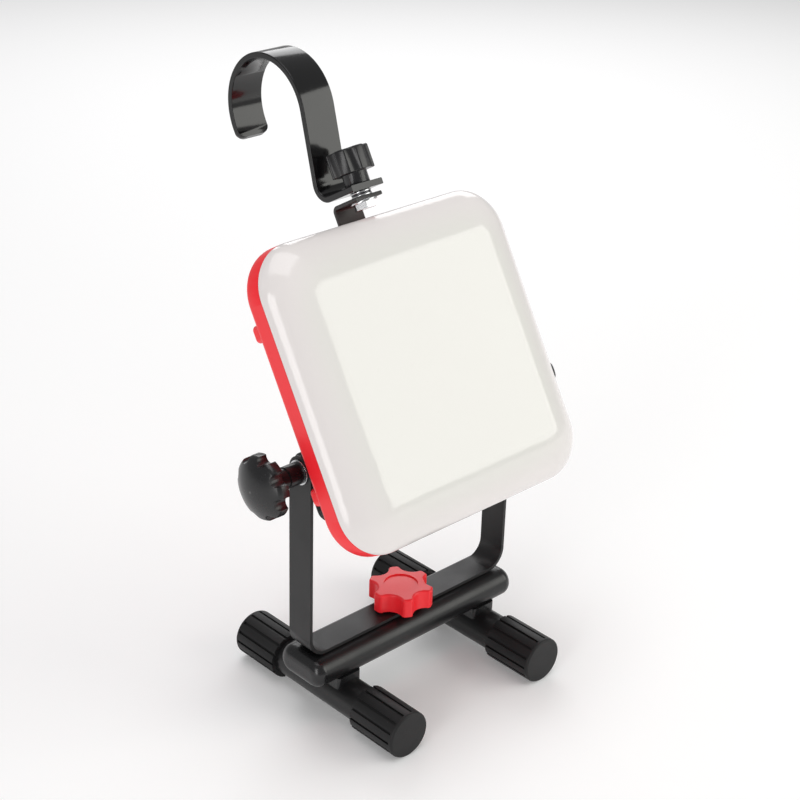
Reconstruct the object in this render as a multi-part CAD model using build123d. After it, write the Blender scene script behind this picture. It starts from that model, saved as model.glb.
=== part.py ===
# Portable LED work light: a two-foot stand with a flat-oval cross-bar, a swivelling strap yoke,
# a tilting lamp head with its rechargeable pack behind it, and a swivelling hanging hook on top.
#
# Millimetres. +Z is up, the lamp faces -Y, +X is the lamp's own right seen from the front.
# The yoke's swivel axis is the line X = 0, Y = swivel_y. The head is drawn upright in its own
# frame (pivot at the origin, lamp facing -Y) and tilted back by head_tilt when it is placed.

import os
from math import cos, radians, sin, tan

from build123d import *

os.makedirs("parts", exist_ok=True)

# ---------------------------------------------------------------- stand
swivel_y = -42.82          # puts the whole light's bounding box on Y = 0
foot_spacing = 123.0       # between the two foot tubes
foot_length = 154.0        # end cap to end cap
foot_offset = 2.0          # the feet reach further back than forward
foot_tube_r = 12.5
tube_wall = 1.5
cap_r = 15.75
cap_length = 38.5
cap_end_wall = 3.0
cap_grooves = 14
foot_screw_r = 2.4
foot_screw_pitch = 12.0

bar_width = 40.0
bar_height = 20.0
bar_length = 163.0
bar_z = 39.3
bar_cap_dome = 7.5
bar_cap_edge_r = 7.3
bar_bottom = bar_z - bar_height / 2
bar_top = bar_z + bar_height / 2

# ---------------------------------------------------------------- yoke and its clamp
bolt_r = 4.0
running = 0.05             # radial clearance of every turning fit
face_gap = 0.2             # gap between faces that turn past each other
pad_thickness = 0.6
strap_width = 20.0
strap_thickness = 2.3
strap_span = 175.5         # outside the two arms
strap_bend_r = 14.3        # outside of the bend
strap_bottom = bar_top + pad_thickness
strap_top = strap_bottom + strap_thickness
pivot_z = 182.0
arm_outer = strap_span / 2
arm_inner = arm_outer - strap_thickness
washer_thickness = 1.2
clamp_knob_r = 21.5
clamp_knob_height = 13.1
clamp_knob_lobes = 6
clamp_knob_turn = 30.0     # angle of the first scallop

# ---------------------------------------------------------------- side knobs
hub_r = 7.0
rim_r = 20.5
rim_start = 25.0           # distance of the knob's rim from the arm
rim_thickness = 5.5
dome_height = 8.0
crown_r = 34.0
crown_edge_r = 4.5
rim_notches = 8
notch_r = 4.3
notch_centre = 21.0

# ---------------------------------------------------------------- lamp head, in the head's frame
head_tilt = 31.0
panel_width = 198.6
panel_height = 193.8
panel_u = 34.9             # panel centre above the pivot
panel_corner_r = 30.0
seam_n = 36.7              # plane where the lens meets the tray, in front of the pivot
tray_depth = 15.5
tray_wall = 2.5
tray_edge_r = 5.0
tray_back = seam_n - tray_depth
lens_inset = 0.0
lens_height = 18.7
lens_shoulder = 30.0       # how far in from its side the lens becomes flat
lens_fullness = 1.6        # 2 is an ellipse, less is flatter
lens_wall = 2.5
gasket_thickness = 0.4
pad_offset = 51.0

pack_width = 152.0         # round the cells and the pivot
pack_waist = 132.0         # above them
pack_bottom = -37.0
pack_shoulder = 8.5
pack_top = 62.0
pack_back = -12.0
pack_corner_r = 9.0
pack_wall = 2.5
cover_thickness = 3.0
cover_back = pack_back - cover_thickness

cell_r = 9.2
cell_length = 65.0
led_columns = 8
led_rows = 8
led_pitch = 19.0

switch_x = 40.0
switch_u = 38.0
switch_r = 8.0
switch_travel = 1.5
port_x = 44.0
port_u = -18.0
flap_width = 24.0
flap_height = 14.0
flap_thickness = 2.5
flap_pin_r = 0.8

# ---------------------------------------------------------------- hanging hook, in the head's frame
bracket_width = 21.5
bracket_thickness = 2.5
bracket_n = 16.0           # back face of the bracket's upright
bracket_low = 92.0
bracket_top = 145.2
bracket_reach = 41.4
hook_axis_n = 35.0
hook_width = 25.0
hook_thickness = 4.0
hook_seat = 148.6
hook_reach = 43.6
hook_ring_r = 36.3
hook_ring_n = -12.9
hook_ring_u = 216.0
hook_lean = 15.6           # the shank leans forward by this angle
hook_tip_angle = 191.0
hook_tip_r = 6.0           # the tip's two corners
hook_bend_r = 9.0
hook_knob_r = 13.5
hook_hub_r = 8.0
hook_hub_height = 7.5
hook_knob_height = 15.0


def save(shape, name, frame=None):
    """Place a piece in the light's frame and write its file."""
    placed = Pos(0, swivel_y, 0) * (frame * shape if frame else shape)
    placed.label = name
    export_step(placed, f"parts/{name}.step")


head = Pos(0, 0, pivot_z) * Rot(-head_tilt, 0, 0)


def face_plane(n):
    """Plane across the lamp, n in front of the pivot; a sketch's Y runs up the lamp."""
    return Plane(origin=(0, -n, 0), x_dir=(1, 0, 0), z_dir=(0, -1, 0))


def across(sketch, n_back, n_front):
    """Extrude a sketch across the lamp from n_back forward to n_front."""
    return extrude(face_plane(n_back) * sketch, amount=n_front - n_back)


def rod_x(radius, x0, x1, y=0.0, z=0.0):
    return Pos((x0 + x1) / 2, y, z) * Rot(0, 90, 0) * Cylinder(radius, abs(x1 - x0))


def rod_y(radius, y0, y1, x=0.0, z=0.0):
    return Pos(x, (y0 + y1) / 2, z) * Rot(90, 0, 0) * Cylinder(radius, abs(y1 - y0))


def rod_z(radius, z0, z1, x=0.0, y=0.0):
    return Pos(x, y, (z0 + z1) / 2) * Cylinder(radius, z1 - z0)


def ring_z(r_out, r_in, z0, z1, x=0.0, y=0.0):
    return rod_z(r_out, z0, z1, x, y) - rod_z(r_in, z0 - 1, z1 + 1, x, y)


def block(x0, x1, y0, y1, z0, z1):
    return Pos((x0 + x1) / 2, (y0 + y1) / 2, (z0 + z1) / 2) * Box(x1 - x0, y1 - y0, z1 - z0)


def oval_bar(grow, x0, x1):
    """Flat-oval bar along X; grow is added all round its section."""
    section = Plane(origin=(x0, 0, bar_z), x_dir=(0, 1, 0), z_dir=(1, 0, 0))
    outline = SlotOverall(bar_width + 2 * grow, bar_height + 2 * grow)
    return extrude(section * outline, amount=x1 - x0)


# ================================================================ stand

# Cross-bar: flat-oval steel tube, drilled for the clamp bolt and the foot screws.
cross_bar = oval_bar(0, -bar_length / 2, bar_length / 2)
cross_bar -= oval_bar(-tube_wall, -bar_length / 2 - 1, bar_length / 2 + 1)
cross_bar -= rod_z(bolt_r + 0.1, bar_bottom - 1, bar_top + 1)
for side in (-1, 1):
    for step in (-1, 1):
        at = (side * foot_spacing / 2, step * foot_screw_pitch / 2)
        cross_bar -= rod_z(foot_screw_r + 0.2, bar_bottom - 1, bar_z, *at)
save(cross_bar, "cross_bar")

# Bar end caps: domed plastic plugs pushed into the tube.
plug = oval_bar(-tube_wall, bar_length / 2 - 12, bar_length / 2)
plug -= oval_bar(-tube_wall - 2, bar_length / 2 - 13, bar_length / 2 - 1)
dome = oval_bar(0, bar_length / 2, bar_length / 2 + bar_cap_dome)
dome = fillet(dome.faces().sort_by(Axis.X)[-1].edges(), bar_cap_edge_r)
bar_cap = plug + dome
save(bar_cap, "bar_cap_right")
save(mirror(bar_cap, Plane.YZ), "bar_cap_left")

# Feet: each a steel tube with screw holes above and access holes below, a moulded saddle that
# fits tube and bar, and a ribbed plastic cap over either end. The right foot mirrors the left.
foot_half = foot_length / 2
tube_half = foot_half - cap_end_wall
foot_x = -foot_spacing / 2


def save_pair(shape, name, tail=""):
    save(shape, f"{name}_left{tail}")
    save(mirror(shape, Plane.YZ), f"{name}_right{tail}")


tube = rod_y(foot_tube_r, foot_offset - tube_half, foot_offset + tube_half, foot_x, cap_r)
tube -= rod_y(foot_tube_r - tube_wall, foot_offset - foot_half, foot_offset + foot_half, foot_x, cap_r)
saddle = block(foot_x - 9.5, foot_x + 9.5, -19.4, 19.4, cap_r + 7.5, bar_bottom + 3)
saddle = fillet(saddle.edges().filter_by(Axis.Z), 2.5)
saddle -= rod_y(foot_tube_r, -foot_half, foot_half, foot_x, cap_r)
saddle -= oval_bar(0, foot_x - 20, foot_x + 20)
for step in (-1, 1):
    at = (foot_x, step * foot_screw_pitch / 2)
    tube -= rod_z(foot_screw_r + 0.2, cap_r, cap_r + 20, *at)
    tube -= rod_z(5.5, -1, cap_r, *at)
    saddle -= rod_z(foot_screw_r + 0.2, 0, bar_z, *at)
save_pair(tube, "foot_tube")
save_pair(saddle, "saddle")

for end, end_name in ((-1, "_front"), (1, "_rear")):
    tip_y = foot_offset + end * foot_half
    mouth_y = tip_y - end * cap_length
    cap = rod_y(cap_r, tip_y, mouth_y, foot_x, cap_r)
    rims = cap.edges().filter_by(GeomType.CIRCLE).sort_by(Axis.Y)
    cap = fillet(rims[0] if end < 0 else rims[-1], 1.6)
    cap -= rod_y(foot_tube_r, tip_y - end * cap_end_wall, mouth_y - end, foot_x, cap_r)
    middle_y = (tip_y - end * 2.4 + mouth_y - end * 2) / 2
    groove = Pos(0, 0, cap_r) * Box(1.7, cap_length - 0.4, 2.6)
    for k in range(cap_grooves):
        turn = (k + 0.5) * 360 / cap_grooves
        cap -= Pos(foot_x, middle_y, cap_r) * Rot(0, turn, 0) * groove
    save_pair(cap, "foot_cap", end_name)

# Foot screws and nuts: two per foot, from inside the tube up into the bar.
screws = []
nuts = []
for side in (-1, 1):
    for step in (-1, 1):
        at = (side * foot_spacing / 2, step * foot_screw_pitch / 2)
        head_top = cap_r + 9.6
        screw = rod_z(4.5, head_top - 3.2, head_top, *at)
        screws.append(screw + rod_z(foot_screw_r, head_top, bar_bottom + 8, *at))
        nut = extrude(RegularPolygon(4.0, 6, major_radius=False), amount=4.0)
        nut -= rod_z(foot_screw_r, -1, 6)
        nuts.append(Pos(at[0], at[1], bar_bottom + tube_wall) * nut)
save(Compound(screws), "foot_screws")
save(Compound(nuts), "foot_nuts")

# Clamp bolt: hexagon bolt up through the bar and yoke; a spacer keeps the bar from crushing.
clamp_bolt = Pos(0, 0, bar_bottom - 5.3) * extrude(RegularPolygon(6.5, 6, major_radius=False), amount=5.3)
clamp_bolt += rod_z(bolt_r, bar_bottom, strap_top + 10.0)
save(clamp_bolt, "clamp_bolt")
save(ring_z(6.5, bolt_r, bar_bottom + tube_wall, bar_top - tube_wall), "bar_spacer")
save(ring_z(9.8, bolt_r, bar_top, strap_bottom), "swivel_pad")

# ================================================================ yoke

# Yoke: one flat steel strap bent into a U, arm ends rounded, drilled for the three bolts.
arm_top = pivot_z + strap_width / 2
outer = block(-arm_outer, arm_outer, -strap_width / 2, strap_width / 2, strap_bottom, arm_top)
outer = fillet(outer.edges().filter_by(Axis.Y).group_by(Axis.Z)[0], strap_bend_r)
inner = block(-arm_inner, arm_inner, -strap_width, strap_width, strap_top, arm_top + 1)
inner = fillet(inner.edges().filter_by(Axis.Y).group_by(Axis.Z)[0], strap_bend_r - strap_thickness)
yoke = outer - inner
yoke = fillet(yoke.edges().filter_by(Axis.X).group_by(Axis.Z)[-1], strap_width / 2 - 0.02)
yoke -= rod_x(bolt_r + running, -arm_outer - 1, arm_outer + 1, 0, pivot_z)
yoke -= rod_z(bolt_r + running, strap_bottom - 1, strap_top + 1)
save(yoke, "yoke_strap")
save(ring_z(9.0, bolt_r + running, strap_top, strap_top + washer_thickness), "yoke_washer")

# Clamp knob: six-lobed red plastic knob, shallow round recess on top, brass threaded insert.
knob_base = strap_top + washer_thickness + face_gap
outline = Circle(clamp_knob_r)
scallops = PolarLocations(25.0, clamp_knob_lobes, start_angle=clamp_knob_turn)
outline -= scallops * Circle(9.0)
outline = fillet(outline.vertices(), 2.2)
knob = Pos(0, 0, knob_base) * extrude(outline, amount=clamp_knob_height)
knob = fillet(knob.faces().sort_by(Axis.Z)[-1].edges(), 1.4)
knob_top = knob_base + clamp_knob_height
knob -= rod_z(11.3, knob_top - 0.9, knob_top + 1)
knob -= ring_z(14.0, 9.0, knob_base - 1, knob_base + 8.5)
knob -= rod_z(6.0, knob_base - 1, knob_base + 9.5)
save(knob, "clamp_knob")
save(ring_z(6.0, bolt_r + running, knob_base, knob_base + 9.0), "clamp_knob_insert")

# ================================================================ side knobs


def side_knob():
    """Mushroom knob, its stud and its washer, drawn along +Z outward from the yoke arm."""
    hub_start = face_gap + washer_thickness
    crown_z = rim_start + rim_thickness + dome_height
    body = rod_z(rim_r, rim_start, crown_z) & Pos(0, 0, crown_z - crown_r) * Sphere(crown_r)
    rims = body.edges().filter_by(GeomType.CIRCLE).filter_by(lambda e: abs(e.radius - rim_r) < 0.01)
    body = fillet(rims.sort_by(Axis.Z)[-1], crown_edge_r)
    body -= ring_z(13.0, hub_r - 0.8, rim_start - 1, rim_start + 3.5)
    body += rod_z(hub_r, hub_start, 12) + rod_z(hub_r - 0.8, 12, rim_start + 4)
    notch = rod_z(notch_r, 20, 60, notch_centre)
    for k in range(rim_notches):
        body -= Rot(0, 0, (k + 0.5) * 360 / rim_notches) * notch
    body -= rod_z(bolt_r, 0, 30)
    stud = rod_z(bolt_r, -(arm_outer - 72.0), 30)
    washer = ring_z(8.0, bolt_r, face_gap, face_gap + washer_thickness)
    return body, stud, washer


for side, side_name in ((-1, "left"), (1, "right")):
    seat = Pos(side * arm_outer, 0, pivot_z) * Rot(0, 90 * side, 0) * Rot(0, 0, 14)
    for piece, piece_name in zip(side_knob(), ("side_knob", "side_stud", "side_washer")):
        save(seat * piece, f"{piece_name}_{side_name}")

# ================================================================ lamp head


def panel(inset, n_back, n_front):
    """Rounded-square slab of the lamp's outline, inset all round."""
    outline = RectangleRounded(
        panel_width - 2 * inset, panel_height - 2 * inset, panel_corner_r - inset
    )
    return across(Pos(0, panel_u) * outline, n_back, n_front)


def pillow(inset, n_back, n_front):
    """The lamp's outline rising from n_back to n_front with a broad soft shoulder all round."""
    rise = n_front - n_back
    outlines = []
    for turn in (0, 12, 25, 40, 55, 70, 82, 90):
        inward = lens_shoulder * (1 - max(cos(radians(turn)), 0) ** (2 / lens_fullness))
        forward = rise * sin(radians(turn)) ** (2 / lens_fullness)
        drawn_in = lens_inset + inset + inward
        outline = RectangleRounded(
            panel_width - 2 * drawn_in,
            panel_height - 2 * drawn_in,
            panel_corner_r - lens_inset - inset - 0.85 * inward,
        )
        outlines.append(face_plane(n_back + forward) * Pos(0, panel_u) * outline)
    return loft(outlines)


def pack(inset, n_back, n_front):
    """Slab of the battery housing's outline, broad below and waisted above, inset all round."""
    broad_u = (pack_bottom + pack_shoulder) / 2
    waist_u = (pack_bottom + pack_top) / 2
    broad_size = (pack_width - 2 * inset, pack_shoulder - pack_bottom - 2 * inset)
    waist_size = (pack_waist - 2 * inset, pack_top - pack_bottom - 2 * inset)
    outline = Pos(0, broad_u) * RectangleRounded(*broad_size, pack_corner_r - inset)
    outline += Pos(0, waist_u) * RectangleRounded(*waist_size, pack_corner_r - inset)
    return across(outline, n_back, n_front)


def peg(radius, x, u, n_back, n_front):
    """Round peg or hole square to the lamp's face."""
    return rod_y(radius, -n_back, -n_front, x, u)


corner_x = panel_width / 2 - 16
corner_u = panel_height / 2 - 16
panel_screw_places = [(sx * corner_x, panel_u + su * corner_u) for sx in (-1, 1) for su in (-1, 1)]
bracket_screw_us = (100.0, 118.0)
cover_screw_places = [
    (side * (width / 2 - 6.5), u)
    for side in (-1, 1)
    for width, u in ((pack_width, pack_bottom + 6.5), (pack_waist, pack_top - 6.5))
]

# Tray: red moulded back shell with rest pads, bracket bosses and a rib round the pack.
tray = panel(0, tray_back, seam_n)
tray = fillet(tray.faces().sort_by(Axis.Y)[-1].edges(), tray_edge_r)
tray -= panel(tray_wall, tray_back + tray_wall, seam_n + 1)
for sx in (-1, 1):
    for su in (-1, 1):
        pad_place = Pos(sx * (panel_width / 2 - 6), panel_u + su * pad_offset)
        rest_pad = across(pad_place * RectangleRounded(10, 11, 3), tray_back - 4.2, tray_back + 5)
        tray += fillet(rest_pad.faces().sort_by(Axis.Y)[-1].edges(), 1.8)
for u in bracket_screw_us:
    tray += peg(6.5, 0, u, bracket_n + bracket_thickness, tray_back + 1)
    tray -= peg(1.9, 0, u, bracket_n, seam_n - 2)
for x, u in panel_screw_places:
    tray += peg(4.5, x, u, tray_back + 1, seam_n - 0.4)
    tray -= peg(3.6, x, u, tray_back - 1, tray_back + 3)
    tray -= peg(1.6, x, u, tray_back, seam_n + 1)
tray -= peg(5.0, -30, 30, tray_back - 1, seam_n)
save(tray, "tray", head)

# Gasket: thin black seal between tray and lens.
save(panel(0.9, seam_n, seam_n + gasket_thickness) - panel(2.4, seam_n - 1, seam_n + 2), "gasket", head)

# Lens: opal moulded diffuser with broad round edges and a spigot inside the tray's rim.
lens_back = seam_n + gasket_thickness
lens_front = seam_n + lens_height
lens = pillow(0, lens_back, lens_front)
lens -= pillow(lens_wall, lens_back - 0.01, lens_front - lens_wall)
lens -= panel(lens_inset + lens_wall, lens_back - 1, lens_back + 0.5)
lens += panel(1, lens_back, lens_back + 1.2)
lens += panel(tray_wall + 0.3, seam_n - 4, lens_back + 1.2)
lens -= panel(tray_wall + 2.1, seam_n - 5, lens_back + 1.2)
for x, u in panel_screw_places:
    lens -= peg(4.8, x, u, seam_n - 6, seam_n)
    lens += peg(4.0, x, u, seam_n, lens_front) & pillow(1, lens_back - 2, lens_front - 1)
    lens -= peg(1.3, x, u, seam_n - 1, seam_n + 6)
save(lens, "lens", head)

# Panel screws: one in each corner, from behind through the tray into the lens posts.
heads = [
    peg(3.2, x, u, tray_back + 0.6, tray_back + 3) + peg(1.3, x, u, tray_back + 3, seam_n + 5)
    for x, u in panel_screw_places
]
save(Compound(heads), "tray_screws", head)

# Light engine: aluminium heat spreader, white LED board, LED packages and reflector frame.
floor_n = tray_back + tray_wall
spreader = across(Pos(0, panel_u) * RectangleRounded(158, 154, 12), floor_n, floor_n + 1.5)
spreader -= peg(5.0, -30, 30, floor_n - 1, floor_n + 3)
board = across(Pos(0, panel_u) * RectangleRounded(152, 148, 6), floor_n + 1.5, floor_n + 3.1)
board -= peg(3.0, -30, 30, floor_n, floor_n + 4)
save(spreader, "heat_spreader", head)
save(board, "led_board", head)
chip = RectangleRounded(3.5, 2.8, 0.3)
chips = []
for column in range(led_columns):
    for row in range(led_rows):
        x = (column - (led_columns - 1) / 2) * led_pitch
        u = panel_u + (row - (led_rows - 1) / 2) * led_pitch
        chips.append(across(Pos(x, u) * chip, floor_n + 3.1, floor_n + 4.0))
save(Compound(chips), "led_chips", head)
frame_out = across(Pos(0, panel_u) * RectangleRounded(160, 157, 14), floor_n + 3.3, floor_n + 13)
mouth = face_plane(floor_n + 3.2) * Pos(0, panel_u) * RectangleRounded(143, 140, 2)
frame_in = extrude(mouth, amount=10, taper=-35)
reflector = frame_out - frame_in
save(reflector, "reflector", head)

# Pack housing: black moulded box behind the tray; bosses at its sides take the pivot studs.
housing = pack(0, pack_back, tray_back) - pack(pack_wall, pack_back - 1, tray_back - pack_wall)
for side in (-1, 1):
    boss = rod_x(11.0, side * 69.5, side * 83.5)
    housing += boss
    housing -= rod_x(6.5, side * 60, side * 90)
for x, u in cover_screw_places:
    housing += peg(4.2, x, u, pack_back, tray_back - 1)
    housing -= peg(1.5, x, u, pack_back - 1, pack_back + 12)
housing -= peg(4.0, -30, 30, tray_back - 4, tray_back + 1)
save(housing, "pack_housing", head)

inserts = []
discs = []
for side in (-1, 1):
    insert = rod_x(6.5, side * 69.5, side * 83.5) - rod_x(bolt_r + running, side * 60, side * 90)
    disc = rod_x(10.0, side * 83.5, side * (arm_inner - face_gap)) - rod_x(bolt_r + running, side * 80, side * 90)
    inserts.append(insert)
    discs.append(disc)
save(Compound(inserts), "pivot_inserts", head)
save(Compound(discs), "friction_discs", head)

# Pack cover: flat moulded lid with the switch hole, the gauge windows, the port and the flap's lugs.
cover = pack(0, cover_back, pack_back)
cover = fillet(cover.faces().sort_by(Axis.Y)[-1].edges(), 2.4)
cover -= peg(switch_r + 0.3, switch_x, switch_u, cover_back - 1, pack_back + 1)
for x, u in cover_screw_places:
    cover -= peg(1.9, x, u, cover_back - 1, pack_back + 1)
gauge_places = [(switch_x - 22 - 7 * k, switch_u) for k in range(4)]
for x, u in gauge_places:
    cover -= peg(1.5, x, u, cover_back - 1, pack_back + 1)
cover -= across(Pos(port_x, port_u) * SlotOverall(9.2, 3.4), cover_back - 1, pack_back + 1)
pin_u = port_u + flap_height / 2 + 2.0
pin_n = cover_back - 1.6
for side in (-1, 1):
    lug_x = port_x + side * (flap_width / 2 - 1.5)
    lug = block(lug_x - 1.5, lug_x + 1.5, -cover_back - 0.2, -pin_n + 1.3, pin_u - 1.3, pin_u + 1.3)
    cover += lug
cover -= rod_x(flap_pin_r, port_x - flap_width, port_x + flap_width, -pin_n, pin_u)
save(cover, "pack_cover", head)

lid_screws = [
    peg(3.3, x, u, cover_back - 2.0, cover_back) + peg(1.5, x, u, cover_back, pack_back + 11)
    for x, u in cover_screw_places
]
save(Compound(lid_screws), "cover_screws", head)
save(Compound([peg(1.5, x, u, cover_back, pack_back) for x, u in gauge_places]), "gauge_windows", head)

# Battery: four cells in a cradle, with the driver board above them.
cells = []
for sx in (-1, 1):
    for u in (-23.2, -4.2):
        cells.append(rod_x(cell_r, sx * 32.7 - cell_length / 2, sx * 32.7 + cell_length / 2, -8, u))
save(Compound(cells), "battery_cells", head)
cradle = block(-60, 60, -18.5, -17.5, -33.9, 7.0)
for u in (-33.4, 6.4):
    cradle += block(-56, 56, -17.6, -5, u - 0.5, u + 0.5)
save(cradle, "battery_cradle", head)
save(block(-54, 18, -9.6, -8, 14, 56), "driver_board", head)
parts_on_board = [
    block(-52, -38, -8, 1, 36, 50),
    block(-34, -28, -8, -5.6, 42, 50),
    rod_y(5, -8, 4, -12, 44),
    rod_y(4, -8, 3, 2, 44),
    block(-24, -6, -8, -6.4, 20, 32),
    block(2, 14, -8, -4, 20, 28),
]
save(Compound(parts_on_board), "driver_parts", head)
save(block(switch_x - 8, switch_x + 8, -8, 6, switch_u - 8, switch_u + 8), "switch_body", head)
socket = block(port_x - 6, port_x + 6, 2, -pack_back, port_u - 4, port_u + 4)
socket -= across(Pos(port_x, port_u) * SlotOverall(9.2, 3.4), pack_back - 1, pack_back + 7)
tongue = block(port_x - 3.3, port_x + 3.3, 5, -pack_back - 0.5, port_u - 0.35, port_u + 0.35)
save(Compound([socket, tongue]), "charge_socket", head)

# Lead from the driver board through the tray to the LED board.
leads = [rod_y(0.9, -floor_n - 3.0, -9.6, x, 30) for x in (-28.5, -31.5)]
save(Compound(leads), "led_leads", head)
grommet = peg(4.9, -30, 30, tray_back - 2.4, tray_back + 2.4) - peg(3.4, -30, 30, tray_back - 4, tray_back + 4)
grommet &= peg(3.95, -30, 30, tray_back - 3, tray_back + 3)
save(grommet, "lead_grommet", head)

# Switch: round bezel on the cover and a sprung push button.
bezel = peg(11.0, switch_x, switch_u, cover_back - 1.8, cover_back)
bezel = fillet(bezel.edges().filter_by(GeomType.CIRCLE).sort_by(Axis.Y)[-1], 1.0)
bezel -= peg(switch_r + 0.3, switch_x, switch_u, cover_back - 3, cover_back + 1)
save(bezel, "switch_bezel", head)
button = peg(switch_r, switch_x, switch_u, cover_back - 3.6, -6 - switch_travel - 0.2)
button = fillet(button.edges().filter_by(GeomType.CIRCLE).sort_by(Axis.Y)[-1], 1.2)
save(button, "switch_button", head)

# Port flap: rubber door on a pin between two lugs of the cover.
flap_back = cover_back - 0.3
flap_sketch = Pos(port_x, port_u) * RectangleRounded(flap_width, flap_height, 2.5)
flap = across(flap_sketch, flap_back - flap_thickness, flap_back)
barrel_half = flap_width / 2 - 3.3
barrel = rod_x(1.4, port_x - barrel_half, port_x + barrel_half, -pin_n, pin_u)
web = block(port_x - barrel_half, port_x + barrel_half, -pin_n - 1.0, -pin_n + 1.0, pin_u - 3, pin_u)
flap += barrel + web
flap -= rod_x(flap_pin_r + running, port_x - 30, port_x + 30, -pin_n, pin_u)
save(flap, "port_flap", head)
save(rod_x(flap_pin_r, port_x - flap_width / 2, port_x + flap_width / 2, -pin_n, pin_u), "flap_pin", head)

# ================================================================ hook and its bracket


def along(path, width, thickness):
    """Flat strip swept along a path drawn in (n, u), its long edges a little rounded."""
    route = side_plane * path
    start = Plane(origin=route @ 0, x_dir=(1, 0, 0), z_dir=route % 0)
    return sweep(start * RectangleRounded(width, thickness, 0.7), path=route)


side_plane = Plane(origin=(0, 0, 0), x_dir=(0, -1, 0), z_dir=(-1, 0, 0))
swivel = head * Pos(0, -hook_axis_n, 0)

# Bracket: bent steel angle, its upright screwed to the tray's bosses.
plate_n = bracket_n + bracket_thickness / 2
shelf_u = bracket_top - bracket_thickness / 2
bend = FilletPolyline((plate_n, bracket_low), (plate_n, shelf_u), (bracket_reach, shelf_u), radius=3.2)
bracket = along(bend, bracket_width, bracket_thickness)
for u in bracket_screw_us:
    bracket -= peg(2.2, 0, u, bracket_n - 2, bracket_n + 4)
bracket -= rod_z(bolt_r, bracket_top - 6, bracket_top + 2, 0, -hook_axis_n)
save(bracket, "hook_bracket", head)
plate_screws = [
    peg(3.8, 0, u, bracket_n - 2.4, bracket_n) + peg(1.9, 0, u, bracket_n, tray_back + 1.5)
    for u in bracket_screw_us
]
save(Compound(plate_screws), "bracket_screws", head)

# Swivel bolt through bracket and hook, a wide washer under the bracket, a spring washer between.
shelf_bottom = bracket_top - bracket_thickness
hub_base = hook_seat + hook_thickness + face_gap
bolt_head = Pos(0, 0, shelf_bottom - 5.4) * extrude(RegularPolygon(6.5, 6, major_radius=False), amount=4.0)
save(bolt_head + rod_z(bolt_r, shelf_bottom - 1.4, hub_base + 12), "swivel_bolt", swivel)
wide_washer = ring_z(8.6, bolt_r, shelf_bottom - 1.4, shelf_bottom)
low_washer = ring_z(6.7, bolt_r, bracket_top, bracket_top + 1.0)
high_washer = ring_z(6.7, bolt_r, hook_seat - face_gap - 1.0, hook_seat - face_gap)
save(Compound([wide_washer, low_washer, high_washer]), "swivel_washers", swivel)
spring_washer = ring_z(6.3, bolt_r, bracket_top + 1.0, hook_seat - face_gap - 1.0)
save(spring_washer, "swivel_spring_washer", swivel)

# Hook: flat strip, seat under the knob, leaning shank, ring of a little over half a turn.
seat_u = hook_seat + hook_thickness / 2
join_n = hook_ring_n + hook_ring_r * cos(radians(hook_lean))
join_u = hook_ring_u - hook_ring_r * sin(radians(hook_lean))
corner_n = join_n - (join_u - seat_u) * tan(radians(hook_lean))
shank = FilletPolyline((hook_reach, seat_u), (corner_n, seat_u), (join_n, join_u), radius=hook_bend_r)
ring = CenterArc((hook_ring_n, hook_ring_u), hook_ring_r, -hook_lean, hook_tip_angle + hook_lean)
hook = along(shank + ring, hook_width, hook_thickness)
tip_n = hook_ring_n + hook_ring_r * cos(radians(hook_tip_angle))
tip_u = hook_ring_u + hook_ring_r * sin(radians(hook_tip_angle))
tip_out = (0, -cos(radians(hook_tip_angle)), sin(radians(hook_tip_angle)))
tip_plane = Plane(origin=(0, -tip_n, tip_u), x_dir=(1, 0, 0), z_dir=tip_out)
corners = Pos(0, 0.5 - hook_tip_r / 2) * Rectangle(hook_width + 2, hook_tip_r + 1)
corners -= Pos(0, -20) * RectangleRounded(hook_width, 40, hook_tip_r)
hook -= extrude(tip_plane * corners, amount=hook_thickness + 2, both=True)
hook -= rod_z(bolt_r + running, seat_u - 6, seat_u + 6, 0, -hook_axis_n)
save(hook, "hook", head)

# Hook knob: black lobed knob on a narrower hub, with a brass insert on the swivel bolt.
lobes = Circle(hook_knob_r) - PolarLocations(hook_knob_r + 4.2, 6) * Circle(6.0)
lobes = fillet(lobes.vertices(), 1.2)
grip_base = hub_base + hook_hub_height
grip = Pos(0, 0, grip_base) * extrude(lobes, amount=hook_knob_height)
grip = fillet(grip.faces().sort_by(Axis.Z)[-1].edges(), 1.2)
hub = Pos(0, 0, hub_base) * extrude(Circle(hook_hub_r), amount=hook_hub_height)
hook_knob = grip + hub - rod_z(5.5, hub_base - 1, hub_base + 13)
save(hook_knob, "hook_knob", swivel)
save(ring_z(5.5, bolt_r + running, hub_base, hub_base + 12.5), "hook_knob_insert", swivel)
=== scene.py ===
"""Portable LED work light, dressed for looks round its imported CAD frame. Metres, +Z up."""

import math

import bmesh
import bpy
from mathutils import Matrix, Vector


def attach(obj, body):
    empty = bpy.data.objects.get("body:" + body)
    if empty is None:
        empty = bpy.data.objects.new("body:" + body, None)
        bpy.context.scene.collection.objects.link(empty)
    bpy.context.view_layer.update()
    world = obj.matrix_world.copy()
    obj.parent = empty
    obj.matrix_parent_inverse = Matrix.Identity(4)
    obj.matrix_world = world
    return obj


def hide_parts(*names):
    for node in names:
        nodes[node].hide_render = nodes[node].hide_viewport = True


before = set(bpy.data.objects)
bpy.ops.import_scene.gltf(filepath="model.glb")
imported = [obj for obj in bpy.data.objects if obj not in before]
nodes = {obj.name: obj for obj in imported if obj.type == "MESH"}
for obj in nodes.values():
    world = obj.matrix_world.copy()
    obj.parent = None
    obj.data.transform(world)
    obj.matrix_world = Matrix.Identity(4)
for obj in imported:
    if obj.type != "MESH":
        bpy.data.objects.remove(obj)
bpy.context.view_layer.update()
scene = bpy.context.scene

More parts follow.
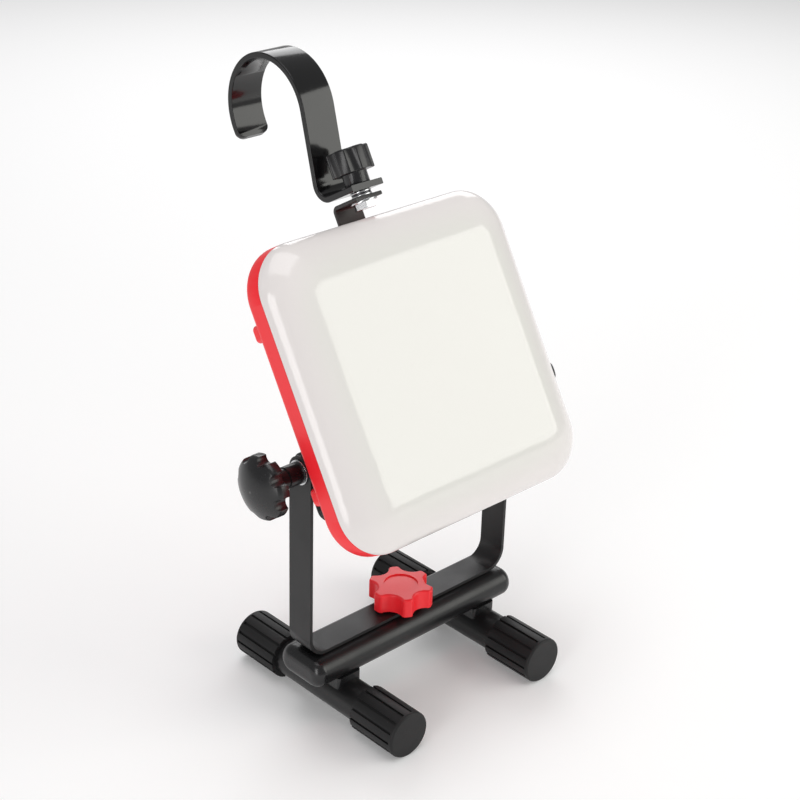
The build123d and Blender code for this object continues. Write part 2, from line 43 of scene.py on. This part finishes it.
# ---------------------------------------------------------------- studio
# A wide sheet of pale card lies under the lamp in a dim grey room. Four white soft boxes stand
# at its front right, its left, its back right and overhead, with dark gaps between them, and
# the camera looks down from the front left.
camera_azimuth = math.radians(43.95)
camera_elevation = math.radians(26.63)
camera_roll = math.radians(1.7)
camera_distance = 1.12942
camera_target = Vector((0.0034, -0.03322, 0.19729))
camera_focal = 80.27
camera_sensor = 36
view_end = 60
forward = Vector(
    (
        math.sin(camera_azimuth) * math.cos(camera_elevation),
        math.cos(camera_azimuth) * math.cos(camera_elevation),
        -math.sin(camera_elevation),
    )
)
level = forward.cross(Vector((0, 0, 1))).normalized()
upright = level.cross(forward)
camera_right = math.cos(camera_roll) * level + math.sin(camera_roll) * upright
camera_up = math.cos(camera_roll) * upright - math.sin(camera_roll) * level
camera_data = bpy.data.cameras.new("camera")
camera_data.lens = camera_focal
camera_data.sensor_width = camera_sensor
camera_data.clip_end = view_end
camera = bpy.data.objects.new("camera", camera_data)
camera_turn = Matrix((camera_right, camera_up, -forward)).transposed().to_4x4()
camera.matrix_world = Matrix.Translation(camera_target - forward * camera_distance) @ camera_turn
scene.collection.objects.link(camera)
scene.camera = camera
scene.view_settings.view_transform = "Standard"

light_aim = Vector((0, -0.04, 0.2))


def soft_box(name, place, width, height, radiance, tint=(1, 1, 1)):
    """A rectangular soft box facing the lamp, as bright as radiance all over its face."""
    data = bpy.data.lights.new(name, "AREA")
    data.shape = "RECTANGLE"
    data.size = width
    data.size_y = height
    data.energy = radiance * math.pi * width * height
    data.color = tint
    box = bpy.data.objects.new(name, data)
    box.location = place
    box.rotation_euler = (light_aim - Vector(place)).to_track_quat("-Z", "Y").to_euler()
    scene.collection.objects.link(box)


soft_box("front_right_box", (1.05, -1.30, 0.80), 1.30, 1.10, 2.7, (1.0, 1.0, 0.95))
soft_box("left_box", (-1.50, -0.62, 0.55), 0.55, 1.10, 4.0, (1.0, 0.99, 0.99))
soft_box("back_right_box", (1.15, 1.20, 1.05), 1.50, 0.80, 2.6, (0.99, 0.99, 1.0))
soft_box("top_box", (-0.10, 0.10, 2.00), 1.50, 1.30, 2.2, (1.0, 0.99, 1.0))

room_strength = 0.34
room = bpy.data.worlds.new("room")
room.use_nodes = True
room_air = room.node_tree.nodes["Background"]
room_air.inputs["Color"].default_value = (1.0, 1.0, 1.0, 1.0)
room_air.inputs["Strength"].default_value = room_strength
scene.world = room

card_half = 9.0
card_white = (0.90, 0.90, 0.90, 1.0)
card_lift = 0.13
card_mesh = bmesh.new()
bmesh.ops.create_grid(card_mesh, x_segments=1, y_segments=1, size=card_half)
floor_mesh = bpy.data.meshes.new("floor")
card_mesh.to_mesh(floor_mesh)
card_mesh.free()
floor = bpy.data.objects.new("floor", floor_mesh)
scene.collection.objects.link(floor)
card = bpy.data.materials.new("floor_card")
card.use_nodes = True
card_shader = card.node_tree.nodes["Principled BSDF"]
card_shader.inputs["Base Color"].default_value = card_white
card_shader.inputs["Roughness"].default_value = 0.9
card_shader.inputs["Specular IOR Level"].default_value = 0.1
card_shader.inputs["Emission Color"].default_value = (1.0, 1.0, 1.0, 1.0)
card_shader.inputs["Emission Strength"].default_value = card_lift
floor_mesh.materials.append(card)

# ---------------------------------------------------------------- cross-bar and foot tubes
# A flat-oval steel tube lies across two round ones. All three are cut to length and powder
# coated satin black; the coat has a fine orange peel and holds a little dust and hand grease.


def socket_group(name, inputs, outputs):
    """An empty shader group with named number sockets, and its input and output nodes."""
    tree = bpy.data.node_groups.new(name, "ShaderNodeTree")
    for socket, start in inputs:
        made = tree.interface.new_socket(socket, in_out="INPUT", socket_type="NodeSocketFloat")
        made.default_value = start
    for socket in outputs:
        tree.interface.new_socket(socket, in_out="OUTPUT", socket_type="NodeSocketFloat")
    return tree, tree.nodes.new("NodeGroupInput"), tree.nodes.new("NodeGroupOutput")


def plug_in(tree, value, socket):
    """Give a socket a number, or link another socket to it."""
    if isinstance(value, (int, float, tuple)):
        socket.default_value = value
    else:
        tree.links.new(value, socket)


def noise(tree, place, scale, detail=2.0, roughness=0.5):
    """Cloudy pattern, 0 to 1, at a place."""
    node = tree.nodes.new("ShaderNodeTexNoise")
    tree.links.new(place, node.inputs["Vector"])
    plug_in(tree, scale, node.inputs["Scale"])
    node.inputs["Detail"].default_value = detail
    node.inputs["Roughness"].default_value = roughness
    return node.outputs["Fac"]


def spread(tree, value, low, high, to_low=0.0, to_high=1.0, smooth=False):
    """Stretch low..high of a value over to_low..to_high, held at both ends."""
    node = tree.nodes.new("ShaderNodeMapRange")
    if smooth:
        node.interpolation_type = "SMOOTHSTEP"
    plug_in(tree, value, node.inputs["Value"])
    plug_in(tree, low, node.inputs["From Min"])
    plug_in(tree, high, node.inputs["From Max"])
    plug_in(tree, to_low, node.inputs["To Min"])
    plug_in(tree, to_high, node.inputs["To Max"])
    return node.outputs["Result"]


def sums(tree, kind, first, second=0.0):
    """One arithmetic step."""
    node = tree.nodes.new("ShaderNodeMath")
    node.operation = kind
    plug_in(tree, first, node.inputs[0])
    plug_in(tree, second, node.inputs[1])
    return node.outputs["Value"]


def blend_colours(tree, factor, first, second):
    """Mix two colours by a factor."""
    node = tree.nodes.new("ShaderNodeMix")
    node.data_type = "RGBA"
    plug_in(tree, factor, node.inputs["Factor"])
    plug_in(tree, (*first, 1.0) if isinstance(first, tuple) else first, node.inputs[6])
    plug_in(tree, (*second, 1.0) if isinstance(second, tuple) else second, node.inputs[7])
    return node.outputs[2]


def own_place(tree, turn=(0.0, 0.0, 0.0), stretch=(1.0, 1.0, 1.0), shift=(0.0, 0.0, 0.0)):
    """Object coordinates, shifted, turned and stretched."""
    place = tree.nodes.new("ShaderNodeTexCoord").outputs["Object"]
    mapping = tree.nodes.new("ShaderNodeMapping")
    mapping.inputs["Location"].default_value = shift
    mapping.inputs["Rotation"].default_value = turn
    mapping.inputs["Scale"].default_value = stretch
    tree.links.new(place, mapping.inputs["Vector"])
    return mapping.outputs["Vector"]


# Grain: fine relief of a coat or a mould, with a slower waviness under it. Stretch draws it out
# along the lamp's width, as rolling does.
slow_wave = 130.0
grain_tree, grain_in, grain_out = socket_group(
    "surface_grain", [("Scale", 900.0), ("Waviness", 0.3), ("Stretch", 1.0)], ["Height"]
)
grain_sides = grain_tree.nodes.new("ShaderNodeCombineXYZ")
grain_sides.inputs["X"].default_value = 1.0
grain_tree.links.new(grain_in.outputs["Stretch"], grain_sides.inputs["Y"])
grain_tree.links.new(grain_in.outputs["Stretch"], grain_sides.inputs["Z"])
grain_drawn = grain_tree.nodes.new("ShaderNodeVectorMath")
grain_drawn.operation = "MULTIPLY"
grain_object = grain_tree.nodes.new("ShaderNodeTexCoord").outputs["Object"]
grain_tree.links.new(grain_object, grain_drawn.inputs[0])
grain_tree.links.new(grain_sides.outputs["Vector"], grain_drawn.inputs[1])
grain_place = grain_drawn.outputs["Vector"]
grain_fine = noise(grain_tree, grain_place, grain_in.outputs["Scale"], 3.0, 0.55)
grain_slow = noise(grain_tree, grain_place, slow_wave, 1.0)
grain_wave = sums(grain_tree, "MULTIPLY", grain_slow, grain_in.outputs["Waviness"])
grain_tree.links.new(sums(grain_tree, "ADD", grain_fine, grain_wave), grain_out.inputs["Height"])

# Handling: hand grease in soft patches, specks of dust, and a few fine hairline rubs.
speck_scale = 900.0
rub_turn = (0.5, 0.9, 0.4)
rub_length = 14.0
marks_tree, marks_in, marks_out = socket_group(
    "handling_marks", [("Patch Scale", 28.0), ("Rub Scale", 55.0)], ["Grease", "Dust", "Rubs"]
)
marks_place = marks_tree.nodes.new("ShaderNodeTexCoord").outputs["Object"]
grease = noise(marks_tree, marks_place, marks_in.outputs["Patch Scale"], 4.0, 0.6)
specks = noise(marks_tree, marks_place, speck_scale, 1.0, 0.4)
marks_tree.links.new(spread(marks_tree, grease, 0.35, 0.68), marks_out.inputs["Grease"])
marks_tree.links.new(spread(marks_tree, specks, 0.72, 0.80), marks_out.inputs["Dust"])
rub_place = own_place(marks_tree, rub_turn, (1.0, rub_length, rub_length))
rubs = noise(marks_tree, rub_place, marks_in.outputs["Rub Scale"], 2.0, 0.5)
marks_tree.links.new(spread(marks_tree, rubs, 0.70, 0.76), marks_out.inputs["Rubs"])


relief_depth = 0.0003
tone_scale = 9.0
dust_cover = 0.35


def finish(
    name,
    colour,
    rough,
    grain=900.0,
    waviness=0.3,
    relief=0.1,
    patchy=0.05,
    rubbed=0.06,
    shade=0.12,
    shine=0.5,
    metal=0.0,
    stretch=1.0,
):
    """A coated, moulded or plated surface. Grain goes to its normal, grease and rubs to its
    gloss, and a slow change of tone and a little dust to its colour."""
    material = bpy.data.materials.new(name)
    material.use_nodes = True
    tree = material.node_tree
    shader = tree.nodes["Principled BSDF"]
    shader.inputs["Metallic"].default_value = metal
    shader.inputs["Specular IOR Level"].default_value = shine
    grain_node = tree.nodes.new("ShaderNodeGroup")
    grain_node.node_tree = grain_tree
    grain_node.inputs["Scale"].default_value = grain
    grain_node.inputs["Waviness"].default_value = waviness
    grain_node.inputs["Stretch"].default_value = stretch
    bump = tree.nodes.new("ShaderNodeBump")
    bump.inputs["Strength"].default_value = relief
    bump.inputs["Distance"].default_value = relief_depth
    tree.links.new(grain_node.outputs["Height"], bump.inputs["Height"])
    tree.links.new(bump.outputs["Normal"], shader.inputs["Normal"])
    marks = tree.nodes.new("ShaderNodeGroup")
    marks.node_tree = marks_tree
    greasy = spread(tree, marks.outputs["Grease"], 0.0, 1.0, rough - patchy, rough + patchy)
    rubbed_gloss = sums(tree, "MULTIPLY", marks.outputs["Rubs"], rubbed)
    tree.links.new(sums(tree, "ADD", greasy, rubbed_gloss), shader.inputs["Roughness"])
    darker = tuple(c * (1.0 - shade) for c in colour)
    lighter = tuple(min(1.0, c * (1.0 + shade)) for c in colour)
    dusty = tuple(c * 0.8 + 0.06 for c in colour)
    tone = noise(tree, own_place(tree), tone_scale, 3.0)
    toned = blend_colours(tree, tone, darker, lighter)
    dust_factor = sums(tree, "MULTIPLY", marks.outputs["Dust"], dust_cover)
    tree.links.new(blend_colours(tree, dust_factor, toned, dusty), shader.inputs["Base Color"])
    return material


weld_reach = 0.000002
flat_within = math.radians(0.4)


def dress(node, material, edge=0.0, corner=30.0, segments=2):
    """Give a CAD node its finish and, where edge is set, break its sharp edges by that much."""
    body = nodes[node]
    body.data.materials.clear()
    body.data.materials.append(material)
    if edge:
        weld = body.modifiers.new("weld", "WELD")
        weld.merge_threshold = weld_reach
        flats = body.modifiers.new("flats", "DECIMATE")
        flats.decimate_type = "DISSOLVE"
        flats.angle_limit = flat_within
        broken = body.modifiers.new("broken_edges", "BEVEL")
        broken.width = edge
        broken.segments = segments
        broken.limit_method = "ANGLE"
        broken.angle_limit = math.radians(corner)
        broken.harden_normals = True


tube_coat = finish(
    "tube_powder_coat",
    (0.0075, 0.0075, 0.008),
    rough=0.34,
    grain=1400.0,
    waviness=0.5,
    relief=0.10,
    shine=0.45,
)
for node in ("cross_bar", "foot_tube_left", "foot_tube_right"):
    dress(node, tube_coat)

# ---------------------------------------------------------------- bar caps, saddles and foot caps
# Domed plugs close the bar. Small moulded saddles seat it on the foot tubes. The four foot caps
# are soft ribbed mouldings, dull black, pushed over the tube ends.
plug_black = finish(
    "plug_black",
    (0.010, 0.010, 0.011),
    rough=0.27,
    grain=700.0,
    waviness=0.6,
    relief=0.06,
    shine=0.5,
)
for node in ("bar_cap_left", "bar_cap_right"):
    dress(node, plug_black)
for node in ("saddle_left", "saddle_right"):
    dress(node, plug_black, edge=0.0003)
cap_rubber = finish(
    "cap_rubber",
    (0.012, 0.012, 0.0125),
    rough=0.50,
    grain=1600.0,
    waviness=0.5,
    relief=0.22,
    shine=0.30,
    shade=0.2,
)
for side in ("left", "right"):
    for end in ("front", "rear"):
        dress(f"foot_cap_{side}_{end}", cap_rubber, edge=0.0003)

# ---------------------------------------------------------------- screws, nuts, bolts and washers
# The fasteners are turned and pressed steel, plated bright with zinc, and the plate is slightly
# mottled. The charge socket's shell and the port door's pin have the same plate.
zinc = finish(
    "bright_zinc",
    (0.62, 0.63, 0.64),
    rough=0.24,
    grain=1200.0,
    waviness=0.4,
    relief=0.08,
    patchy=0.08,
    rubbed=0.15,
    shade=0.10,
    shine=0.5,
    metal=1.0,
)
for node in (
    "foot_screws",
    "foot_nuts",
    "clamp_bolt",
    "bar_spacer",
    "yoke_washer",
    "flap_pin",
    "charge_socket",
    "swivel_bolt",
    "swivel_washers",
    "side_stud_left",
    "side_stud_right",
    "side_washer_left",
    "side_washer_right",
):
    dress(node, zinc, edge=0.00015)

# ---------------------------------------------------------------- yoke strap and swivel pad
# One flat steel strap, bent to a U and powder coated a finely textured satin black. It turns on a
# thin nylon pad over the bar.
strap_coat = finish(
    "strap_powder_coat",
    (0.0115, 0.0115, 0.012),
    rough=0.42,
    grain=1900.0,
    waviness=0.4,
    relief=0.22,
    shine=0.38,
)
dress("yoke_strap", strap_coat, edge=0.0004)
nylon = finish("moulded_nylon", (0.02, 0.02, 0.02), rough=0.5, grain=1500.0)
dress("swivel_pad", nylon)

# ---------------------------------------------------------------- clamp knob
# A six-lobed knob, moulded in bright red over a turned brass insert and left matt off the tool.
# It screws down on the clamp bolt and holds the strap. The other brass inserts are alike.
red = finish(
    "red_moulded",
    (0.96, 0.020, 0.030),
    rough=0.36,
    grain=1500.0,
    waviness=0.4,
    relief=0.10,
    shine=0.5,
    shade=0.05,
)
dress("clamp_knob", red)
brass = finish(
    "turned_brass",
    (0.72, 0.50, 0.20),
    rough=0.28,
    grain=1200.0,
    waviness=0.3,
    relief=0.08,
    metal=1.0,
)
for node in ("clamp_knob_insert", "hook_knob_insert", "pivot_inserts"):
    dress(node, brass, edge=0.00015)

# ---------------------------------------------------------------- side knobs
# Two domed knobs with eight round finger scallops, moulded in black over their steel studs. They
# pinch the strap's arms against the head to hold its tilt.
knob_black = finish(
    "knob_black",
    (0.0095, 0.0095, 0.0105),
    rough=0.29,
    grain=1000.0,
    waviness=0.5,
    relief=0.08,
    shine=0.5,
)
for node in ("side_knob_left", "side_knob_right"):
    dress(node, knob_black, edge=0.0006, corner=35.0, segments=3)

# ---------------------------------------------------------------- tray and gasket
# The lamp's tray is a deep moulding in the same bright red, with four rest pads at its sides. A
# thin black rubber seal lies in the joint between the tray and the lens.
dress("tray", red, edge=0.0004)
seal_rubber = finish(
    "seal_rubber", (0.012, 0.012, 0.012), rough=0.6, grain=1500.0, waviness=0.5, relief=0.2
)
dress("gasket", seal_rubber)

# ---------------------------------------------------------------- lens
# A glossy opal moulding, soft shouldered all round. Over the light engine it looks a little
# creamier. Its thick shoulder, where the wall is seen at a slant, is painted a darker pinkish grey:
# painted shade for the weaker light the slanted wall catches.
head_tilt = math.radians(31.0)
lens_centre = 0.16885
# Painted shade: the darker pinkish grey painted on the lens's slanted shoulder.
shoulder_painted_shade = (0.82, 0.78, 0.765)
flat_half = 0.071
shoulder_half = 0.093
opal = finish(
    "opal_lens",
    (0.785, 0.775, 0.735),
    rough=0.14,
    grain=500.0,
    waviness=1.0,
    relief=0.012,
    patchy=0.004,
    rubbed=0.0,
    shade=0.012,
    shine=0.5,
)
opal_tree = opal.node_tree
opal_shader = opal_tree.nodes["Principled BSDF"]
opal_middle = opal_shader.inputs["Base Color"].links[0].from_socket
lens_place = own_place(opal_tree, (head_tilt, 0.0, 0.0), shift=(0.0, 0.0, -lens_centre))
lens_split = opal_tree.nodes.new("ShaderNodeSeparateXYZ")
opal_tree.links.new(lens_place, lens_split.inputs["Vector"])
corner_power = 6.0
lens_x = sums(opal_tree, "ABSOLUTE", lens_split.outputs["X"])
lens_z = sums(opal_tree, "ABSOLUTE", lens_split.outputs["Z"])
across_part = sums(opal_tree, "POWER", lens_x, corner_power)
along_part = sums(opal_tree, "POWER", lens_z, corner_power)
both_parts = sums(opal_tree, "ADD", across_part, along_part)
square_reach = sums(opal_tree, "POWER", both_parts, 1.0 / corner_power)
# Shoulder band: the middle colour is mixed towards the darker pinkish grey, as painted shade on the
# slanted wall.
shoulder_shade_mask = spread(opal_tree, square_reach, flat_half, shoulder_half, smooth=True)
opal_tree.links.new(
    blend_colours(opal_tree, shoulder_shade_mask, opal_middle, shoulder_painted_shade),
    opal_shader.inputs["Base Color"],
)
opal_shader.inputs["Coat Weight"].default_value = 0.12
opal_shader.inputs["Coat Roughness"].default_value = 0.08
dress("lens", opal)

# ---------------------------------------------------------------- light engine
# A stamped aluminium plate spreads the heat of a white circuit board. Sixty-four LEDs stand on
# the board in eight rows, each with a yellow window, inside a white reflector frame.
rolled_aluminium = finish(
    "rolled_aluminium",
    (0.78, 0.79, 0.80),
    rough=0.36,
    grain=500.0,
    waviness=0.3,
    relief=0.12,
    metal=1.0,
    stretch=14.0,
)
dress("heat_spreader", rolled_aluminium)
white_mask = finish(
    "white_solder_mask", (0.80, 0.81, 0.79), rough=0.42, grain=1800.0, waviness=0.3, relief=0.15
)
dress("led_board", white_mask)
reflector_white = finish(
    "reflector_white", (0.86, 0.86, 0.85), rough=0.30, grain=900.0, waviness=0.5, relief=0.08
)
dress("reflector", reflector_white)
led_pitch = 0.019
led_window_half = 0.00105
led_window_edge = 0.001365
window_yellow = (0.86, 0.62, 0.10)
led_body = finish("led_package", (0.80, 0.80, 0.78), rough=0.3, grain=1500.0)
led_tree = led_body.node_tree
led_shader = led_tree.nodes["Principled BSDF"]
led_white = led_shader.inputs["Base Color"].links[0].from_socket
led_split = led_tree.nodes.new("ShaderNodeSeparateXYZ")
led_place = own_place(led_tree, (head_tilt, 0.0, 0.0), shift=(0.0, 0.0, -lens_centre))
led_tree.links.new(led_place, led_split.inputs["Vector"])
led_near = []
for side in ("X", "Z"):
    wrapped = led_tree.nodes.new("ShaderNodeMath")
    wrapped.operation = "PINGPONG"
    led_tree.links.new(led_split.outputs[side], wrapped.inputs[0])
    wrapped.inputs[1].default_value = led_pitch / 2
    from_middle = sums(led_tree, "SUBTRACT", led_pitch / 2, wrapped.outputs["Value"])
    led_near.append(
        spread(led_tree, from_middle, led_window_half, led_window_edge, to_low=1.0, to_high=0.0)
    )
led_window = sums(led_tree, "MULTIPLY", led_near[0], led_near[1])
led_tree.links.new(
    blend_colours(led_tree, led_window, led_white, window_yellow),
    led_shader.inputs["Base Color"],
)
dress("led_chips", led_body)

# ---------------------------------------------------------------- battery housing and its cover
# Two black mouldings with the dull even sparkle of a spark-eroded tool. The cover is screwed on
# from behind and holds the charge gauge's four green windows.
spark_black = finish(
    "spark_black",
    (0.012, 0.012, 0.013),
    rough=0.52,
    grain=2300.0,
    waviness=0.3,
    relief=0.45,
    shine=0.45,
)
dress("pack_housing", spark_black, edge=0.0004)
dress("pack_cover", spark_black, edge=0.0004)
gauge_green = finish(
    "gauge_green", (0.03, 0.42, 0.10), rough=0.16, grain=700.0, waviness=0.5, relief=0.04
)
dress("gauge_windows", gauge_green)

# ---------------------------------------------------------------- cells, cradle and driver board
# Cells in blue shrink sleeve lie in a black nylon cradle. Beside them stands the green driver
# board with its moulded parts, from which a red twin lead runs through a rubber grommet.
cell_half = 0.0312
sleeve_lip = 0.0004
cell_steel = (0.62, 0.62, 0.60)
sleeve = finish(
    "blue_sleeve", (0.02, 0.085, 0.36), rough=0.24, grain=400.0, waviness=1.0, relief=0.06
)
sleeve_tree = sleeve.node_tree
sleeve_shader = sleeve_tree.nodes["Principled BSDF"]
sleeve_blue = sleeve_shader.inputs["Base Color"].links[0].from_socket
sleeve_split = sleeve_tree.nodes.new("ShaderNodeSeparateXYZ")
sleeve_tree.links.new(own_place(sleeve_tree), sleeve_split.inputs["Vector"])
from_centre = sums(sleeve_tree, "ABSOLUTE", sleeve_split.outputs["X"])
cell_end = spread(sleeve_tree, from_centre, cell_half, cell_half + sleeve_lip)
sleeve_tree.links.new(
    blend_colours(sleeve_tree, cell_end, sleeve_blue, cell_steel),
    sleeve_shader.inputs["Base Color"],
)
sleeve_tree.links.new(cell_end, sleeve_shader.inputs["Metallic"])
dress("battery_cells", sleeve)
dress("battery_cradle", nylon)
green_mask = finish(
    "green_solder_mask",
    (0.012, 0.12, 0.045),
    rough=0.34,
    grain=1800.0,
    waviness=0.3,
    relief=0.12,
    shade=0.25,
)
dress("driver_board", green_mask)
part_black = finish(
    "part_black", (0.022, 0.022, 0.024), rough=0.40, grain=1500.0, waviness=0.3, relief=0.2
)
dress("driver_parts", part_black)
lead_red = finish(
    "lead_red", (0.42, 0.012, 0.012), rough=0.45, grain=900.0, waviness=0.5, relief=0.10
)
dress("led_leads", lead_red)
for node in ("lead_grommet", "friction_discs"):
    dress(node, seal_rubber)

# ---------------------------------------------------------------- switch and charge port
# The press switch is a red moulded button in a grey bezel, with its body behind the cover. The
# port's door is soft black rubber and turns on a steel pin between two lugs.
dress("switch_button", red, edge=0.0003)
bezel_grey = finish(
    "bezel_grey", (0.16, 0.16, 0.165), rough=0.42, grain=1500.0, waviness=0.3, relief=0.2
)
dress("switch_bezel", bezel_grey, edge=0.0003)
dress("switch_body", nylon)
door_rubber = finish(
    "door_rubber",
    (0.014, 0.014, 0.0145),
    rough=0.58,
    grain=1300.0,
    waviness=0.5,
    relief=0.3,
    shine=0.3,
)
dress("port_flap", door_rubber, edge=0.0002)

# ---------------------------------------------------------------- recessed screws
# Zinc plated self-tapping screws with pan heads and a cross recess. Four hold the battery cover,
# four clamp the tray to the lens, and two fix the hook's bracket to the tray.
head_place = Matrix.Translation((0.0, -0.04282, 0.182)) @ Matrix.Rotation(-head_tilt, 4, "X")
screw_segments = 36
first_turn = 0.35
turn_step = 1.1
cross_reach = 0.50
cross_half = 0.11
recess_depth = 0.55
recess_taper = 0.72
flat_top = 0.72
shoulder_steps = ((0.87, 0.93), (0.97, 0.74), (1.0, 0.45), (1.0, 0.0))


def pan_screw(pieces, seat, radius, height, shank, length, turn):
    """Add a pan-head screw standing on its seat: a flat-topped round head, a cross sunk in its
    top, and a plain shank below."""
    screw = bmesh.new()
    bmesh.ops.create_grid(screw, x_segments=3, y_segments=3, size=1.0)
    for corner in screw.verts:
        for side in (0, 1):
            reach = cross_reach if abs(corner.co[side]) > 0.6 else cross_half
            corner.co[side] = math.copysign(reach * radius, corner.co[side])
        corner.co.z = height
    corners = []
    for face in screw.faces:
        middle = face.calc_center_median()
        if min(abs(middle.x), abs(middle.y)) > cross_half * radius:
            corners.append(face)
    bmesh.ops.delete(screw, geom=corners, context="FACES")
    recess = list(screw.faces)
    rim = bmesh.ops.create_circle(
        screw, cap_ends=False, segments=screw_segments, radius=flat_top * radius
    )
    bmesh.ops.translate(screw, verts=rim["verts"], vec=(0, 0, height))
    rim_edges = [e for e in screw.edges if e.is_wire]
    open_edges = [e for e in screw.edges if e.is_boundary or e.is_wire]
    bmesh.ops.triangle_fill(screw, use_beauty=True, edges=open_edges, normal=(0, 0, 1))
    sunk = bmesh.ops.extrude_face_region(screw, geom=recess)
    sunk_verts = [v for v in sunk["geom"] if isinstance(v, bmesh.types.BMVert)]
    bmesh.ops.scale(screw, verts=sunk_verts, vec=(recess_taper, recess_taper, 1.0))
    bmesh.ops.translate(screw, verts=sunk_verts, vec=(0, 0, -recess_depth * height))
    rings = [(radius * wide, height * high) for wide, high in shoulder_steps]
    rings += [(shank, 0.0), (shank, -length)]
    wide_now, high_now = flat_top * radius, height
    for wide, high in rings:
        ring = bmesh.ops.extrude_edge_only(screw, edges=rim_edges)["geom"]
        ring_verts = [v for v in ring if isinstance(v, bmesh.types.BMVert)]
        rim_edges = [e for e in ring if isinstance(e, bmesh.types.BMEdge) and e.is_boundary]
        grow = wide / wide_now
        bmesh.ops.scale(screw, verts=ring_verts, vec=(grow, grow, 1.0))
        bmesh.ops.translate(screw, verts=ring_verts, vec=(0, 0, high - high_now))
        wide_now, high_now = wide, high
    bmesh.ops.edgeloop_fill(screw, edges=rim_edges)
    driven = Matrix.Rotation(turn, 3, "Z")
    bmesh.ops.rotate(screw, verts=screw.verts, cent=(0, 0, 0), matrix=driven)
    bmesh.ops.transform(screw, matrix=head_place @ seat, verts=screw.verts)
    bmesh.ops.recalc_face_normals(screw, faces=screw.faces)
    loose = bpy.data.meshes.new("loose_screw")
    screw.to_mesh(loose)
    screw.free()
    pieces.from_mesh(loose)
    bpy.data.meshes.remove(loose)


def screw_set(name, places, level_n, radius, height, shank, length):
    """One piece for a set of like screws, whose heads stand back from level_n."""
    pieces = bmesh.new()
    for count, (x, u) in enumerate(places):
        seat = Matrix.Translation((x, -level_n, u)) @ Matrix.Rotation(math.radians(-90), 4, "X")
        pan_screw(pieces, seat, radius, height, shank, length, first_turn + turn_step * count)
    mesh = bpy.data.meshes.new(name)
    pieces.to_mesh(mesh)
    pieces.free()
    mesh.shade_smooth()
    mesh.set_sharp_from_angle(angle=math.radians(35))
    mesh.materials.append(zinc)
    piece = bpy.data.objects.new(name, mesh)
    scene.collection.objects.link(piece)
    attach(piece, "head")
    return piece


cover_places = [(side * x, u) for side in (-1, 1) for x, u in ((0.0695, -0.0305), (0.0595, 0.0555))]
cover_screws = screw_set(
    "cover_pan_screws",
    cover_places,
    level_n=-0.015,
    radius=0.0033,
    height=0.0020,
    shank=0.0015,
    length=0.012,
)
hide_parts("cover_screws")
tray_places = [(side * 0.0833, 0.0349 + end * 0.0809) for side in (-1, 1) for end in (-1, 1)]
tray_screws = screw_set(
    "tray_pan_screws",
    tray_places,
    level_n=0.0242,
    radius=0.0032,
    height=0.0024,
    shank=0.0013,
    length=0.014,
)
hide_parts("tray_screws")
bracket_places = [(0.0, 0.100), (0.0, 0.118)]
bracket_screws = screw_set(
    "bracket_pan_screws",
    bracket_places,
    level_n=0.016,
    radius=0.0038,
    height=0.0024,
    shank=0.0019,
    length=0.006,
)
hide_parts("bracket_screws")

# ---------------------------------------------------------------- hook and its bracket
# The hook is flat bar bent to a ring and dipped in glossy black enamel. Its bracket is a folded
# steel strip with a dull dark grey powder coat, screwed to the tray's back.
hook_enamel = finish(
    "hook_enamel",
    (0.006, 0.006, 0.0065),
    rough=0.13,
    grain=500.0,
    waviness=1.0,
    relief=0.05,
    patchy=0.02,
    rubbed=0.08,
    shine=0.5,
)
dress("hook", hook_enamel, edge=0.0004)
bracket_coat = finish(
    "bracket_powder_coat", (0.03, 0.03, 0.029), rough=0.45, grain=1900.0, waviness=0.4, relief=0.3
)
dress("hook_bracket", bracket_coat, edge=0.0003)
spring_steel = finish(
    "spring_steel",
    (0.07, 0.07, 0.075),
    rough=0.32,
    grain=1200.0,
    waviness=0.4,
    relief=0.1,
    metal=1.0,
)
dress("swivel_spring_washer", spring_steel)

# ---------------------------------------------------------------- hook knob
# A small black fluted knob, moulded like the side knobs over a brass insert. It clamps the hook
# on its bolt.
dress("hook_knob", knob_black, edge=0.0004)
